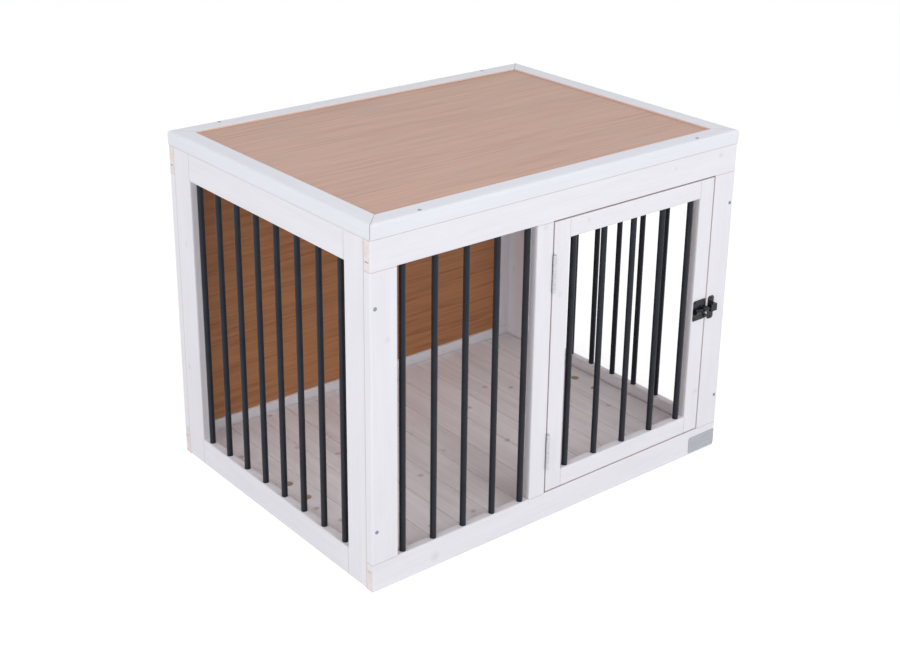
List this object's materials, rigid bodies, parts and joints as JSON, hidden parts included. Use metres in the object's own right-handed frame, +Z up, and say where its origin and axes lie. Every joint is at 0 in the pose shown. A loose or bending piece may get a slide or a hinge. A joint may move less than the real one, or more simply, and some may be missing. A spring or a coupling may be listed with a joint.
{
  "type": "dog crate end table",
  "caption": "Wooden dog crate end table with steel bars, a hinged barred door with a barrel bolt, a slatted floor and a framed table top.",
  "frame": {"origin": "middle of the overall width and depth, with the knob of the bolt, on the ground", "axes": "+X along the front to the right, +Y towards the back, +Z up"},
  "size_m": [0.901, 0.687, 0.703],
  "materials": {
    "frame_paint": "satin",
    "top_frame_paint": "satin",
    "top_veneer": "satin",
    "back_plywood": "matte",
    "floor_wood": "matte",
    "batten_wood": "matte",
    "bar_steel": "satin",
    "zinc_steel": "satin",
    "black_iron": "gloss"
  },
  "bodies": {
    "frame": {"front_top_rail": "frame_paint", "front_bottom_rail": "frame_paint", "front_left_stile": "frame_paint", "front_middle_stile": "frame_paint", "front_right_stile": "frame_paint", "back_top_rail": "frame_paint", "back_bottom_rail": "frame_paint", "back_left_stile": "frame_paint", "back_right_stile": "frame_paint", "back_panel": "back_plywood", "left_front_stile": "frame_paint", "left_back_stile": "frame_paint", "left_top_rail": "frame_paint", "left_bottom_rail": "frame_paint", "right_front_stile": "frame_paint", "right_back_stile": "frame_paint", "right_top_rail": "frame_paint", "right_bottom_rail": "frame_paint", "top_front_rail": "top_frame_paint", "top_back_rail": "top_frame_paint", "top_left_rail": "top_frame_paint", "top_right_rail": "top_frame_paint", "top_panel": "top_veneer", "front_bars": "bar_steel", "left_bars": "bar_steel", "right_bars": "bar_steel", "upper_hinge_frame_leaf": "zinc_steel", "lower_hinge_frame_leaf": "zinc_steel", "hinge_pins": "zinc_steel", "bolt_keeper": "black_iron", "front_floor_cleat": "batten_wood", "back_floor_cleat": "batten_wood"},
    "door": {"door_hinge_stile": "frame_paint", "door_latch_stile": "frame_paint", "door_top_rail": "frame_paint", "door_bottom_rail": "frame_paint", "door_bars": "bar_steel", "upper_hinge_door_leaf": "zinc_steel", "lower_hinge_door_leaf": "zinc_steel", "bolt_plate": "black_iron"},
    "bolt": {"sliding_bolt": "black_iron"},
    "floor": {"floor_board_01": "floor_wood", "floor_board_02": "floor_wood", "floor_board_03": "floor_wood", "floor_board_04": "floor_wood", "floor_board_05": "floor_wood", "floor_board_06": "floor_wood", "floor_board_07": "floor_wood", "floor_board_08": "floor_wood", "floor_board_09": "floor_wood", "floor_board_10": "floor_wood", "floor_board_11": "floor_wood", "floor_board_12": "floor_wood", "floor_front_batten": "batten_wood", "floor_back_batten": "batten_wood"}
  },
  "joints": [
    {"name": "door_hinge", "type": "hinge", "parent": "frame", "child": "door", "pos_m": [-0.038, -0.3281, 0.332], "axis": [0, 0, -1], "range_deg": [0, 170]},
    {"name": "bolt_slide", "type": "slide", "parent": "door", "child": "bolt", "axis": [-1, 0, 0], "range_m": [0, 0.011]},
    {"name": "floor_lift", "type": "slide", "parent": "frame", "child": "floor", "axis": [0, 0, 1], "range_m": [0, 0.6]}
  ]
}
